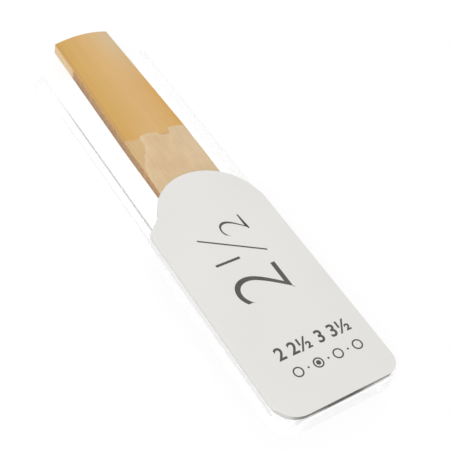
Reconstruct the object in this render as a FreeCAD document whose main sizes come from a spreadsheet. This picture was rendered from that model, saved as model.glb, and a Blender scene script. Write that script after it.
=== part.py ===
"""A clarinet reed lying in its guard: cane reed, clear tray, cover plate and the label on the cover.

Millimetres. The tray stands on its flat underside, centred on the origin. Its closed end faces -Y, the
reed's heel points along +Y, and +Z is up.
"""

import FreeCAD, Part
import math
import os
import re
import Sketcher

# Driving dimensions: name, value, what it measures. Every other size follows from these.
SIZES = [
    ("reed_length", 67.75, "reed, heel to tip"),
    ("heel_width", 11.5, "reed across its heel"),
    ("tip_width", 13.2, "reed across its tip"),
    ("edge_thickness", 2.2, "side of the reed, from its heel to where the vamp starts"),
    ("bark_crown", 0.85, "rise of the bark between the sides"),
    ("vamp_length", 37.0, "scraped part, from the bark's end to the tip"),
    ("tip_thickness", 0.08, "corners of the tip"),
    ("tip_crown", 0.04, "rise of the tip between its corners"),
    ("tip_bow", 1.8, "how far the rounded tip stands past its corners"),
    ("back_waste", 1.0, "cane under the back before the back is planed flat"),
    ("tray_length", 85.0, "tray, outside of the closed end to the open end"),
    ("floor_thickness", 1.0, "tray floor"),
    ("left_room", 5.7, "channel to the left of the reed"),
    ("right_room", 1.2, "channel to the right of the reed"),
    ("tip_room", 23.5, "channel between the reed's tip and the closed end"),
    ("bark_above_rails", 0.25, "how far the bark stands above the rails"),
    ("rail_width", 2.0, "side rails"),
    ("end_wall", 1.7, "wall across the closed end"),
    ("left_corner_radius", 4.8, "tray's outside corner at the closed end, on the left"),
    ("right_corner_radius", 3.3, "tray's outside corner at the closed end, on the right"),
    ("channel_corner_radius", 1.6, "inside corners at the closed end"),
    ("mouth_corner_radius", 1.4, "outside corners at the open end"),
    ("moulding_radius", 0.3, "softened edges of the tray's top and underside"),
    ("reed_turn_degrees", 0.25, "turn of the reed in the tray, tip towards the right"),
    ("cover_length", 50.1, "cover plate, its closed end to the top of its arched mouth"),
    ("cover_thickness", 1.1, "cover plate"),
    ("cover_inset", 0.5, "ledge of the tray left bare round the cover"),
    ("arch_left_margin", 2.65, "arch to the cover's left side"),
    ("arch_right_margin", 0.25, "arch to the cover's right side"),
    ("shoulder_rise", 3.2, "where a shoulder meets the arch, above the arch's centre"),
    ("shoulder_fall", 2.7, "fall of a shoulder from the arch to the cover's side"),
    ("shoulder_radius", 1.0, "rounding of the shoulders"),
    ("rib_depth", 0.5, "locating rib under the cover"),
    ("rib_width", 0.8, "locating rib, across"),
    ("rib_corner_radius", 0.7, "inside corners of the locating rib"),
    ("rib_clearance", 0.1, "gap between the locating rib and the rails"),
    ("label_thickness", 0.1, "printed film on the cover"),
    ("cut_overrun", 1.0, "how far a cut runs past what it cuts"),
]

# Sizes that follow from the driving ones.
CHANNEL_WIDTH = "(tip_width + left_room + right_room)"
TRAY_WIDTH = f"({CHANNEL_WIDTH} + 2 * rail_width)"
RAIL_HEIGHT = "(edge_thickness + bark_crown - bark_above_rails)"
RAIL_TOP = f"(floor_thickness + {RAIL_HEIGHT})"
COVER_WIDTH = f"({TRAY_WIDTH} - 2 * cover_inset)"
COVER_START = "(-tray_length / 2 + cover_inset)"
ARCH_RADIUS = f"(({COVER_WIDTH} - arch_left_margin - arch_right_margin) / 2)"
ARCH_X = "((arch_left_margin - arch_right_margin) / 2)"
ARCH_Y = f"({COVER_START} + cover_length - {ARCH_RADIUS})"
SHOULDER_ROOT = f"({ARCH_Y} + shoulder_rise)"
SHOULDER_END = f"({SHOULDER_ROOT} - shoulder_fall)"

# The vamp's slices: how far along it they lie, and how much of the bark's side and crown is left there.
STATION_SHARES = [0.15, 0.31, 0.46, 0.595, 0.73, 0.865]
SIDE_SHARES = [0.92, 0.79, 0.575, 0.38, 0.21, 0.08]
CROWN_SHARES = [0.70, 0.46, 0.34, 0.24, 0.19, 0.10]

BARK_WIDENING_SHARE = 0.82  # how much of the reed's widening lies in its bark, the rest in the vamp
FOLD_RADIUS_SHARE = 0.7  # outside of the film's fold, of the film's thickness
NEAR = 1e-4  # two places this close are the same place

doc = FreeCAD.newDocument("clarinet_reed_in_guard")
sheet = doc.addObject("Spreadsheet::Sheet", "Sizes")
for row, (alias, size, meaning) in enumerate(SIZES, start=1):
    sheet.set(f"A{row}", meaning)
    sheet.set(f"B{row}", str(size))
    sheet.setAlias(f"B{row}", alias)
doc.recompute()


def number(expression):
    """Value of an expression written in the sheet's names."""
    return float(sheet.evalExpression(expression))


def bound(expression):
    """The same expression as another object of the document writes it."""
    names = "|".join(alias for alias, size, meaning in SIZES)
    return re.sub(rf"\b({names})\b", r"Sizes.\1", expression)


def new_body(label):
    """An empty body named after its sub-part."""
    body = doc.addObject("PartDesign::Body", label)
    body.Label = label
    return body


def origin_plane(body, role):
    """One of the body's own origin planes."""
    return next(f for f in body.Origin.OriginFeatures if f.Role == role)


def is_zero(expression):
    """Whether a place lies on an axis or on its plane itself."""
    return expression == "0"


def closed_sketch(body, name, role, lift, nodes, arcs):
    """A closed outline on an origin plane, lifted along the plane's normal.

    nodes are (x, y) pairs of expressions. arcs maps the number of a side to (centre x, centre y, radius,
    turn); every other side is straight. Turn is 1 where the outline runs anticlockwise round the centre and
    -1 where it runs clockwise. An x of None is left to an anticlockwise arc, which starts to the right of
    its centre and ends to the left.
    """
    sketch = body.newObject("Sketcher::SketchObject", name)
    sketch.AttachmentSupport = (origin_plane(body, role), [""])
    sketch.MapMode = "FlatFace"
    sketch.AttachmentOffset = FreeCAD.Placement(FreeCAD.Vector(0, 0, number(lift)), FreeCAD.Rotation())
    if not is_zero(lift):
        sketch.setExpression(".AttachmentOffset.Base.z", bound(lift))

    def place(index):
        x, y = nodes[index]
        if x is not None:
            return FreeCAD.Vector(number(x), number(y), 0)
        starts = index in arcs
        centre_x, centre_y, radius, turn = arcs[index if starts else index - 1]
        reach = math.sqrt(number(radius) ** 2 - (number(y) - number(centre_y)) ** 2)
        return FreeCAD.Vector(number(centre_x) + (reach if starts else -reach), number(y), 0)

    count = len(nodes)
    ends = []
    for side in range(count):
        start, stop = place(side), place((side + 1) % count)
        if side not in arcs:
            sketch.addGeometry(Part.LineSegment(start, stop), False)
            ends.append((1, 2))
            continue
        centre_x, centre_y, radius, turn = arcs[side]
        centre = FreeCAD.Vector(number(centre_x), number(centre_y), 0)
        first, last = (start, stop) if turn > 0 else (stop, start)
        angles = [math.atan2(p.y - centre.y, p.x - centre.x) for p in (first, last)]
        circle = Part.Circle(centre, FreeCAD.Vector(0, 0, 1), number(radius))
        sketch.addGeometry(Part.ArcOfCircle(circle, *angles), False)
        ends.append((1, 2) if turn > 0 else (2, 1))

    def bind(kind, side, position, expression, label):
        if is_zero(expression):
            axis = -2 if kind == "DistanceX" else -1
            sketch.addConstraint(Sketcher.Constraint("PointOnObject", side, position, axis))
            return
        constraint = Sketcher.Constraint(kind, -1, 1, side, position, number(expression))
        sketch.renameConstraint(sketch.addConstraint(constraint), label)
        sketch.setExpression(f"Constraints.{label}", bound(expression))

    for side in range(count):
        after = (side + 1) % count
        sketch.addConstraint(Sketcher.Constraint("Coincident", side, ends[side][1], after, ends[after][0]))
    for side in range(count):
        x, y = nodes[side]
        if x is not None:
            bind("DistanceX", side, ends[side][0], x, f"x{side}")
        bind("DistanceY", side, ends[side][0], y, f"y{side}")
    for side, (centre_x, centre_y, radius, turn) in arcs.items():
        constraint = Sketcher.Constraint("Radius", side, number(radius))
        sketch.renameConstraint(sketch.addConstraint(constraint), f"radius{side}")
        sketch.setExpression(f"Constraints.radius{side}", bound(radius))
        if nodes[side][0] is None:
            bind("DistanceX", side, 3, centre_x, f"centre_x{side}")
            bind("DistanceY", side, 3, centre_y, f"centre_y{side}")
    return sketch


def pad(body, name, sketch, length, downwards=False):
    """Material raised from a sketch, or hung below it."""
    feature = body.newObject("PartDesign::Pad", name)
    feature.Profile = sketch
    feature.setExpression("Length", bound(length))
    feature.Reversed = downwards
    doc.recompute()
    return feature


def pocket(body, name, sketch, depth, upwards=False):
    """Material cut away below a sketch, or above it. The volume has to fall."""
    before = body.Tip.Shape.Volume
    feature = body.newObject("PartDesign::Pocket", name)
    feature.Profile = sketch
    feature.setExpression("Length", bound(depth))
    feature.Reversed = upwards
    doc.recompute()
    if feature.Shape.Volume >= before:
        raise RuntimeError(f"{name} cuts nothing")
    return feature


def fillet(body, name, radius, names):
    """Rounding of the named edges, or of every edge of the named faces."""
    base = body.Tip
    feature = body.newObject("PartDesign::Fillet", name)
    feature.Base = (base, names)
    feature.setExpression("Radius", bound(radius))
    doc.recompute()
    return feature


def upright_edges(shape, places):
    """Names of the edges that stand at the given (x, y) places."""
    names = []
    for index, edge in enumerate(shape.Edges, start=1):
        ends = [vertex.Point for vertex in edge.Vertexes]
        if len(ends) == 2 and any(
            all(math.hypot(p.x - x, p.y - y) < NEAR for p in ends) for x, y in places
        ):
            names.append(f"Edge{index}")
    return names


def level_faces(shape, height):
    """Names of the flat faces that lie at a height."""
    return [
        f"Face{index}"
        for index, face in enumerate(shape.Faces, start=1)
        if abs(face.BoundBox.ZMin - height) < NEAR and abs(face.BoundBox.ZMax - height) < NEAR
    ]


# Clear tray: a floor between two rails, shut at one end
def make_tray():
    body = new_body("guard_tray")
    side, end = f"{TRAY_WIDTH} / 2", "tray_length / 2"
    left, right, mouth = "left_corner_radius", "right_corner_radius", "mouth_corner_radius"
    outline = closed_sketch(
        body, "TrayOutline", "XY_Plane", "0",
        [
            (f"-{side} + {left}", f"-{end}"), (f"{side} - {right}", f"-{end}"),
            (side, f"-{end} + {right}"), (side, f"{end} - {mouth}"),
            (f"{side} - {mouth}", end), (f"-{side} + {mouth}", end),
            (f"-{side}", f"{end} - {mouth}"), (f"-{side}", f"-{end} + {left}"),
        ],
        {
            1: (f"{side} - {right}", f"-{end} + {right}", right, 1),
            3: (f"{side} - {mouth}", f"{end} - {mouth}", mouth, 1),
            5: (f"-{side} + {mouth}", f"{end} - {mouth}", mouth, 1),
            7: (f"-{side} + {left}", f"-{end} + {left}", left, 1),
        },
    )
    pad(body, "TrayBlock", outline, RAIL_TOP)
    wall, inside = f"({CHANNEL_WIDTH} / 2)", "channel_corner_radius"
    back, front = "(-tray_length / 2 + end_wall)", "(tray_length / 2 + cut_overrun)"
    channel = closed_sketch(
        body, "ChannelOutline", "XY_Plane", RAIL_TOP,
        [
            (f"-{wall} + {inside}", back), (f"{wall} - {inside}", back),
            (wall, f"{back} + {inside}"), (wall, front),
            (f"-{wall}", front), (f"-{wall}", f"{back} + {inside}"),
        ],
        {
            1: (f"{wall} - {inside}", f"{back} + {inside}", inside, 1),
            5: (f"-{wall} + {inside}", f"{back} + {inside}", inside, 1),
        },
    )
    pocket(body, "Channel", channel, RAIL_HEIGHT)
    rims = level_faces(body.Tip.Shape, number(RAIL_TOP)) + level_faces(body.Tip.Shape, 0)
    fillet(body, "SoftEdges", "moulding_radius", rims)
    return body


# The cover's outline, which the label shares: straight sides, shoulders and an arched mouth
def cover_outline(body, name, grow):
    side = f"({COVER_WIDTH} / 2 + {grow})"
    left, right = (f"({side_name}_corner_radius - cover_inset + {grow})" for side_name in ("left", "right"))
    start = f"({COVER_START} - {grow})"
    return closed_sketch(
        body, name, "XY_Plane", "0",
        [
            (f"-{side} + {left}", start), (f"{side} - {right}", start),
            (side, f"{start} + {right}"), (side, SHOULDER_END),
            (None, SHOULDER_ROOT), (None, SHOULDER_ROOT),
            (f"-{side}", SHOULDER_END), (f"-{side}", f"{start} + {left}"),
        ],
        {
            1: (f"{side} - {right}", f"{start} + {right}", right, 1),
            4: (ARCH_X, ARCH_Y, f"{ARCH_RADIUS} + {grow}", 1),
            7: (f"-{side} + {left}", f"{start} + {left}", left, 1),
        },
    )


def round_shoulders(body, grow):
    """The shoulders' outer corners and the left one's root are rounded. The right one runs into the arch."""
    side = number(f"{COVER_WIDTH} / 2 + {grow}")
    reach = math.sqrt(number(f"{ARCH_RADIUS} + {grow}") ** 2 - number("shoulder_rise") ** 2)
    root = (number(ARCH_X) - reach, number(SHOULDER_ROOT))
    end = number(SHOULDER_END)
    corners = upright_edges(body.Tip.Shape, [(side, end), (-side, end), root])
    fillet(body, "RoundShoulders", "shoulder_radius", corners)


# Cover plate on the rails, with a rib under it that drops between them
def make_cover():
    body = new_body("guard_cover")
    body.setExpression(".Placement.Base.z", bound(RAIL_TOP))
    pad(body, "Plate", cover_outline(body, "PlateOutline", "0"), "cover_thickness")
    round_shoulders(body, "0")
    outer = f"({CHANNEL_WIDTH} / 2 - rib_clearance)"
    inner = f"({outer} - rib_width)"
    back = "(-tray_length / 2 + end_wall + rib_clearance)"
    turn, tight = "(channel_corner_radius - rib_clearance)", "rib_corner_radius"
    rib = closed_sketch(
        body, "RibOutline", "XY_Plane", "0",
        [
            (outer, SHOULDER_END), (inner, SHOULDER_END),
            (inner, f"{back} + rib_width + {tight}"), (f"{inner} - {tight}", f"{back} + rib_width"),
            (f"-{inner} + {tight}", f"{back} + rib_width"), (f"-{inner}", f"{back} + rib_width + {tight}"),
            (f"-{inner}", SHOULDER_END), (f"-{outer}", SHOULDER_END),
            (f"-{outer}", f"{back} + {turn}"), (f"-{outer} + {turn}", back),
            (f"{outer} - {turn}", back), (outer, f"{back} + {turn}"),
        ],
        {
            2: (f"{inner} - {tight}", f"{back} + rib_width + {tight}", tight, -1),
            4: (f"-{inner} + {tight}", f"{back} + rib_width + {tight}", tight, -1),
            8: (f"-{outer} + {turn}", f"{back} + {turn}", turn, 1),
            10: (f"{outer} - {turn}", f"{back} + {turn}", turn, 1),
        },
    )
    pad(body, "LocatingRib", rib, "rib_depth", downwards=True)
    return body


# Printed film: over the cover's face and folded down its two straight sides
def make_label():
    body = new_body("cover_label")
    body.setExpression(".Placement.Base.z", bound(f"{RAIL_TOP} + cover_thickness"))
    film = "label_thickness"
    pad(body, "FaceFilm", cover_outline(body, "FilmOutline", film), film)
    round_shoulders(body, film)
    side = f"({COVER_WIDTH} / 2)"
    high = f"({SHOULDER_END} - shoulder_radius)"
    for name, near, far in (("Left", f"-{side}", f"-{side} - {film}"), ("Right", side, f"{side} + {film}")):
        low = f"({COVER_START} + {name.lower()}_corner_radius - cover_inset)"
        flap = closed_sketch(
            body, f"{name}FlapOutline", "XY_Plane", "0",
            [(near, low), (far, low), (far, high), (near, high)], {},
        )
        pad(body, f"{name}Flap", flap, "cover_thickness", downwards=True)
    folds = []
    fold_x, fold_z = number(f"{side} + {film}"), number(film)
    for index, edge in enumerate(body.Tip.Shape.Edges, start=1):
        ends = [vertex.Point for vertex in edge.Vertexes]
        if len(ends) == 2 and all(abs(abs(p.x) - fold_x) < NEAR and abs(p.z - fold_z) < NEAR for p in ends):
            folds.append(f"Edge{index}")
    fillet(body, "Folds", f"{film} * {FOLD_RADIUS_SHARE}", folds)
    return body


# Cane reed: heel at its own origin, flat back down, tip along -Y
def reed_section(body, name, station, width, edge, crown):
    """A slice across the blank at a distance from its heel, with the waste under its back."""
    half = f"({width} / 2)"
    radius = f"(({half} * {half} + {crown} * {crown}) / (2 * {crown}))"
    return closed_sketch(
        body, name, "XZ_Plane", station,
        [(f"-{half}", "-back_waste"), (half, "-back_waste"), (half, edge), (f"-{half}", edge)],
        {2: ("0", f"{edge} + {crown} - {radius}", radius, 1)},
    )


def loft(body, name, sections, ruled):
    """Material through a row of slices."""
    feature = body.newObject("PartDesign::AdditiveLoft", name)
    feature.Profile = sections[0]
    feature.Sections = sections[1:]
    feature.Ruled = ruled
    doc.recompute()
    return feature


def make_reed():
    body = new_body("reed")
    edge, crown = "edge_thickness", "bark_crown"
    bark_end = "(reed_length - vamp_length)"
    bark_width = f"(heel_width + (tip_width - heel_width) * {BARK_WIDENING_SHARE})"
    heel = reed_section(body, "HeelSection", "0", "heel_width", edge, crown)
    end = reed_section(body, "BarkEndSection", bark_end, bark_width, edge, crown)
    loft(body, "Stock", [heel, end], True)
    sections = [reed_section(body, "VampStartSection", bark_end, bark_width, edge, crown)]
    slices = zip(STATION_SHARES, SIDE_SHARES, CROWN_SHARES)
    for index, (along_share, side_share, crown_share) in enumerate(slices, start=1):
        sections.append(reed_section(
            body, f"VampSection{index}", f"({bark_end} + vamp_length * {along_share})",
            f"({bark_width} + (tip_width - {bark_width}) * {along_share})",
            f"(tip_thickness + ({edge} - tip_thickness) * {side_share})",
            f"(tip_crown + ({crown} - tip_crown) * {crown_share})",
        ))
    sections.append(reed_section(
        body, "TipSection", "reed_length", "tip_width", "tip_thickness", "tip_crown",
    ))
    loft(body, "Vamp", sections, False)

    # The back is planed flat.
    wide = "(tip_width / 2 + cut_overrun)"
    beyond = "(-reed_length - cut_overrun)"
    plane = closed_sketch(
        body, "BackOutline", "XY_Plane", "0",
        [(f"-{wide}", beyond), (wide, beyond), (wide, "cut_overrun"), (f"-{wide}", "cut_overrun")], {},
    )
    pocket(body, "BackPlaning", plane, "back_waste + cut_overrun")

    # The tip is trimmed to a shallow arc through its middle and its corners.
    sweep = "((tip_width * tip_width / 4 + tip_bow * tip_bow) / (2 * tip_bow))"
    shore = f"(-reed_length + {sweep} - sqrt({sweep} * {sweep} - {wide} * {wide}))"
    trim = closed_sketch(
        body, "TipOutline", "XY_Plane", "0",
        [(f"-{wide}", shore), (f"-{wide}", beyond), (wide, beyond), (wide, shore)],
        {3: ("0", f"-reed_length + {sweep}", sweep, -1)},
    )
    pocket(body, "TipTrim", trim, f"{edge} + {crown} + cut_overrun", upwards=True)

    # The back lies on the floor, nearer to the right rail, with the tip well short of the closed end.
    body.setExpression(".Placement.Base.x", bound("(left_room - right_room) / 2"))
    body.setExpression(".Placement.Base.y", bound("-tray_length / 2 + end_wall + tip_room + reed_length"))
    body.setExpression(".Placement.Base.z", bound("floor_thickness"))
    body.setExpression(".Placement.Rotation.Angle", bound("reed_turn_degrees"))
    return body


bodies = [make_tray(), make_cover(), make_label(), make_reed()]
doc.recompute()

for thing in doc.Objects:
    if "Invalid" in thing.State or "Error" in thing.State:
        raise RuntimeError(f"{thing.Name} failed: {thing.State}")
for body in bodies:
    if body.Shape.isNull() or not body.Shape.isValid() or len(body.Shape.Solids) != 1:
        raise RuntimeError(f"{body.Label} is not one sound solid")

os.makedirs("parts", exist_ok=True)
for body in bodies:
    body.Shape.exportStep(f"parts/{body.Label}.step")
    box = body.Shape.optimalBoundingBox(False)
    print(f"{body.Label}: {box.XLength:.2f} x {box.YLength:.2f} x {box.ZLength:.2f} mm, "
          f"{body.Shape.Volume / 1000:.3f} cm3")
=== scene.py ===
# %% [markdown]
# # A clarinet reed in its guard
#
# A clarinet reed is a tongue of cane, thick and round-backed at its heel and shaved to a feather at its
# tip. It is sold and carried in a guard: a clear tray, open at one end, with a cover over the reed's tip.
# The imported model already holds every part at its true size. This lesson gives each one its finish, carves
# the detail that a plain solid leaves out, and lights the whole for its picture.

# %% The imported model
import bpy
import math
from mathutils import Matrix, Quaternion, Vector, noise
from mathutils.bvhtree import BVHTree


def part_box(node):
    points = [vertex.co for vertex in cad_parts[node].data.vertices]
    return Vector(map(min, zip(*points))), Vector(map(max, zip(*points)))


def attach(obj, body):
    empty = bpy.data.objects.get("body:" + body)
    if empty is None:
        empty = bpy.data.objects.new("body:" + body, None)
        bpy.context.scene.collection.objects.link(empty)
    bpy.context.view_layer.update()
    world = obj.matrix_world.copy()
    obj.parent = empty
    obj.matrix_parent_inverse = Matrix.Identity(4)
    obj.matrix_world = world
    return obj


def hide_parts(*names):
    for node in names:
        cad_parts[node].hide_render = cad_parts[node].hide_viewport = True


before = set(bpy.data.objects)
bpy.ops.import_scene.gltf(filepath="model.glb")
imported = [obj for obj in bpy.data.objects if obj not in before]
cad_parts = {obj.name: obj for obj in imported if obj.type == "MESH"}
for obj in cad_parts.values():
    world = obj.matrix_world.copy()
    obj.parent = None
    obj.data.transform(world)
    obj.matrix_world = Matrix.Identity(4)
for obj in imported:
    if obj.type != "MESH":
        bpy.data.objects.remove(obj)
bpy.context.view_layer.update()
MM = 0.001
MERGE = 0.001 * MM  # points closer than this are one point
FLAT = math.radians(1)  # faces that turn less than this are one face
for name in sorted(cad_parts):
    low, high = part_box(name)
    print(name, "measures", [round((b - a) / MM, 2) for a, b in zip(low, high)], "mm")

# %% [markdown]
# ## The camera
#
# The picture looks down on the tray from its front left corner, so that the closed end comes forward and
# the reed runs away to the top left. A camera can be placed by eye, or from an aim point, two angles, a
# roll and a distance. The second way is used here, because each number can be read and changed by itself.
# The picture's centre lies a few pixels off the lens axis, which is what a lens shift is for.

# %% The camera
AIM = Vector((2.51, -1.55, 2.50)) * MM
AZIMUTH = math.radians(43.13)
ELEVATION = math.radians(47.51)
ROLL = math.radians(14.40)
DISTANCE = 177.6 * MM
PICTURE = 450
FOCAL_LENGTH = 1006.9
LENS_AXIS = Vector((218.0, 218.1))
SENSOR = 36.0

camera_data = bpy.data.cameras.new("camera")
camera = bpy.data.objects.new("camera", camera_data)
bpy.context.scene.collection.objects.link(camera)
bpy.context.scene.camera = camera
view = Vector((
    math.sin(AZIMUTH) * math.cos(ELEVATION),
    math.cos(AZIMUTH) * math.cos(ELEVATION),
    -math.sin(ELEVATION),
))
camera.location = AIM - view * DISTANCE
camera.rotation_mode = "QUATERNION"
camera.rotation_quaternion = view.to_track_quat("-Z", "Y") @ Quaternion((0, 0, 1), ROLL)
camera_data.sensor_width = SENSOR
camera_data.lens = SENSOR * FOCAL_LENGTH / PICTURE
camera_data.shift_x = (PICTURE / 2 - LENS_AXIS.x) / PICTURE
camera_data.shift_y = (LENS_AXIS.y - PICTURE / 2) / PICTURE
camera_data.clip_start = 1 * MM
print("lens", round(camera_data.lens, 2), "mm, camera at", [round(c / MM, 1) for c in camera.location], "mm")

# %% [markdown]
# ## Small helpers
#
# Colours are easiest to note as the picture shows them, from 0 to 255. Cycles wants them linear, so one
# function turns them. Others save typing: the operators act on all that is selected, so selections are set
# by a test on each vertex, edge or face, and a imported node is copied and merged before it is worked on.

# %% Small helpers
def colour(red, green, blue):
    """A colour as a picture shows it, from 0 to 255, as the linear colour that a shader takes."""
    parts = [channel / 255 for channel in (red, green, blue)]
    return [c / 12.92 if c <= 0.04045 else ((c + 0.055) / 1.055) ** 2.4 for c in parts] + [1.0]


def select_only(*objects):
    """These objects are selected and nothing else is. The first one is active."""
    bpy.ops.object.select_all(action="DESELECT")
    for thing in objects:
        thing.select_set(True)
    bpy.context.view_layer.objects.active = objects[0]


def new_material(name):
    """An empty node material, with its node tree and its main shader."""
    material = bpy.data.materials.new(name)
    material.use_nodes = True
    return material, material.node_tree, material.node_tree.nodes["Principled BSDF"]


def add_node(tree, kind, **settings):
    """A node of that kind. Settings name its own options."""
    made = tree.nodes.new(kind)
    for option, value in settings.items():
        setattr(made, option, value)
    return made


def dress(thing, *materials):
    """The object's material slots, in this order. Clearing slots also resets what the faces chose."""
    if thing.data.materials:
        thing.data.materials.clear()
    for material in materials:
        thing.data.materials.append(material)


def select_part(thing, part, wanted):
    """In edit mode, selects only those vertices, edges or faces for which the test is true."""
    if bpy.context.mode != "OBJECT":
        bpy.ops.object.mode_set(mode="OBJECT")
    select_only(thing)
    bpy.ops.object.mode_set(mode="EDIT")
    bpy.ops.mesh.select_mode(type={"vertices": "VERT", "edges": "EDGE", "polygons": "FACE"}[part])
    bpy.ops.mesh.select_all(action="DESELECT")
    bpy.ops.object.mode_set(mode="OBJECT")
    for element in getattr(thing.data, part):
        element.select = wanted(element)
    bpy.ops.object.mode_set(mode="EDIT")


def copy_of(node, name):
    """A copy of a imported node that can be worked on: its loose triangles are merged into one skin."""
    made = bpy.data.objects.new(name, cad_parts[node].data.copy())
    bpy.context.scene.collection.objects.link(made)
    select_only(made)
    bpy.ops.mesh.customdata_custom_splitnormals_clear()
    bpy.ops.object.mode_set(mode="EDIT")
    bpy.ops.mesh.select_all(action="SELECT")
    bpy.ops.mesh.remove_doubles(threshold=MERGE)
    bpy.ops.object.mode_set(mode="OBJECT")
    return made


# %% [markdown]
# ## Shared effects
#
# Cane is a bundle of long fibres, so bark, scraped wood, sides and back all show the same streaks, only
# paler or darker, finer or coarser. Such an effect could be rebuilt in each material. One node group is
# better: it is made once and takes its scale and stretch as inputs. It gives back a fine streak, a broad
# tone and a height. A second group gives moulded or printed surfaces a very soft unevenness, so that none
# looks computed.

# %% Shared effects
def group_with(name, inputs, outputs):
    """An empty node group with its input and output nodes. Each socket is (name, kind, value)."""
    group = bpy.data.node_groups.new(name, "ShaderNodeTree")
    for title, kind, value in inputs:
        socket = group.interface.new_socket(title, in_out="INPUT", socket_type=kind)
        if value is not None:
            socket.default_value = value
    for title, kind in outputs:
        group.interface.new_socket(title, in_out="OUTPUT", socket_type=kind)
    return group, add_node(group, "NodeGroupInput"), add_node(group, "NodeGroupOutput")


def arithmetic(tree, operation, first, second):
    """A Math node on two values, each a number or another node's output."""
    made = add_node(tree, "ShaderNodeMath", operation=operation)
    for socket, value in zip(made.inputs, (first, second)):
        if isinstance(value, (int, float)):
            socket.default_value = value
        else:
            tree.links.new(value, socket)
    return made.outputs[0]


def fractal(tree, vector, scale, detail, roughness=0.5):
    """A noise texture on a vector, with its scale a number or another node's output."""
    made = add_node(tree, "ShaderNodeTexNoise")
    tree.links.new(vector, made.inputs["Vector"])
    if isinstance(scale, (int, float)):
        made.inputs["Scale"].default_value = scale
    else:
        tree.links.new(scale, made.inputs["Scale"])
    made.inputs["Detail"].default_value = detail
    made.inputs["Roughness"].default_value = roughness
    return made.outputs["Fac"]


def make_fibre_group():
    group, given, result = group_with(
        "cane_fibres",
        [("Vector", "NodeSocketVector", None), ("Fibres", "NodeSocketFloat", 3000.0),
         ("Stretch", "NodeSocketFloat", 0.03)],
        [("Streak", "NodeSocketFloat"), ("Tone", "NodeSocketFloat"), ("Height", "NodeSocketFloat")],
    )
    along = add_node(group, "ShaderNodeCombineXYZ")
    along.inputs["X"].default_value = 1
    along.inputs["Z"].default_value = 1
    group.links.new(given.outputs["Stretch"], along.inputs["Y"])
    drawn = add_node(group, "ShaderNodeVectorMath", operation="MULTIPLY")
    group.links.new(given.outputs["Vector"], drawn.inputs[0])
    group.links.new(along.outputs[0], drawn.inputs[1])
    fine = fractal(group, drawn.outputs[0], given.outputs["Fibres"], 4.0, 0.6)
    coarse = arithmetic(group, "MULTIPLY", given.outputs["Fibres"], 0.3)
    bundles = fractal(group, drawn.outputs[0], coarse, 2.0)
    broad = arithmetic(group, "MULTIPLY", given.outputs["Fibres"], 0.08)
    tone = fractal(group, given.outputs["Vector"], broad, 3.0)
    streak = arithmetic(group, "ADD", arithmetic(group, "MULTIPLY", fine, 0.6),
                        arithmetic(group, "MULTIPLY", bundles, 0.4))
    group.links.new(streak, result.inputs["Streak"])
    group.links.new(tone, result.inputs["Tone"])
    group.links.new(arithmetic(group, "MULTIPLY", streak, 0.00003), result.inputs["Height"])
    return group


def make_mottle_group():
    group, given, result = group_with(
        "soft_mottle",
        [("Vector", "NodeSocketVector", None), ("Blotches", "NodeSocketFloat", 120.0)],
        [("Broad", "NodeSocketFloat"), ("Fine", "NodeSocketFloat")],
    )
    broad = fractal(group, given.outputs["Vector"], given.outputs["Blotches"], 2.0)
    small = arithmetic(group, "MULTIPLY", given.outputs["Blotches"], 60.0)
    fine = fractal(group, given.outputs["Vector"], small, 3.0)
    group.links.new(broad, result.inputs["Broad"])
    group.links.new(fine, result.inputs["Fine"])
    return group


cane_fibres = make_fibre_group()
soft_mottle = make_mottle_group()


def use_group(tree, group, vector, **values):
    """One use of a shared group in a material, with its own values."""
    made = add_node(tree, "ShaderNodeGroup", node_tree=group)
    tree.links.new(vector, made.inputs["Vector"])
    for title, value in values.items():
        made.inputs[title].default_value = value
    return made.outputs


def object_vector(tree):
    """The object's own coordinates, in metres."""
    return add_node(tree, "ShaderNodeTexCoord").outputs["Object"]


def split(tree, vector):
    """A vector's three parts, called X, Y and Z."""
    made = add_node(tree, "ShaderNodeSeparateXYZ")
    tree.links.new(vector, made.inputs[0])
    return made.outputs


def surface_normal(tree):
    """The parts of the surface's normal, each without its sign."""
    parts = split(tree, add_node(tree, "ShaderNodeNewGeometry").outputs["Normal"])
    return {axis: arithmetic(tree, "ABSOLUTE", parts[axis], 0.0) for axis in "XYZ"}


def product(tree, *values):
    """Several masks multiplied."""
    total = values[0]
    for value in values[1:]:
        total = arithmetic(tree, "MULTIPLY", total, value)
    return total


def ramp(tree, value, *stops):
    """A colour ramp on a value. Each stop is (place, colour)."""
    made = add_node(tree, "ShaderNodeValToRGB")
    elements = made.color_ramp.elements
    while len(elements) < len(stops):
        elements.new(0.5)
    for element, (place, shade) in zip(elements, stops):
        element.position = place
        element.color = shade
    tree.links.new(value, made.inputs["Fac"])
    return made.outputs["Color"]


def blend_colours(tree, amount, first, second, mode="MIX"):
    """Two colours mixed by an amount. Each may be a fixed colour or another node's output."""
    made = add_node(tree, "ShaderNodeMix", data_type="RGBA", blend_type=mode)
    for socket, value in ((made.inputs["Factor"], amount), (made.inputs[6], first), (made.inputs[7], second)):
        if isinstance(value, (int, float, list)):
            socket.default_value = value
        else:
            tree.links.new(value, socket)
    return made.outputs[2]


def spread(tree, value, low, high, out_low=0.0, out_high=1.0):
    """A value stretched from one range to another and held inside it."""
    made = add_node(tree, "ShaderNodeMapRange")
    tree.links.new(value, made.inputs["Value"])
    for title, number in (("From Min", low), ("From Max", high), ("To Min", out_low), ("To Max", out_high)):
        made.inputs[title].default_value = number
    return made.outputs["Result"]


def relief(tree, height, shader, strength):
    """A height in metres, turned into the shader's bump."""
    made = add_node(tree, "ShaderNodeBump")
    made.inputs["Strength"].default_value = strength
    made.inputs["Distance"].default_value = 1.0
    tree.links.new(height, made.inputs["Height"])
    tree.links.new(made.outputs["Normal"], shader.inputs["Normal"])


print("shared groups:", cane_fibres.name, "and", soft_mottle.name)

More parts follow.
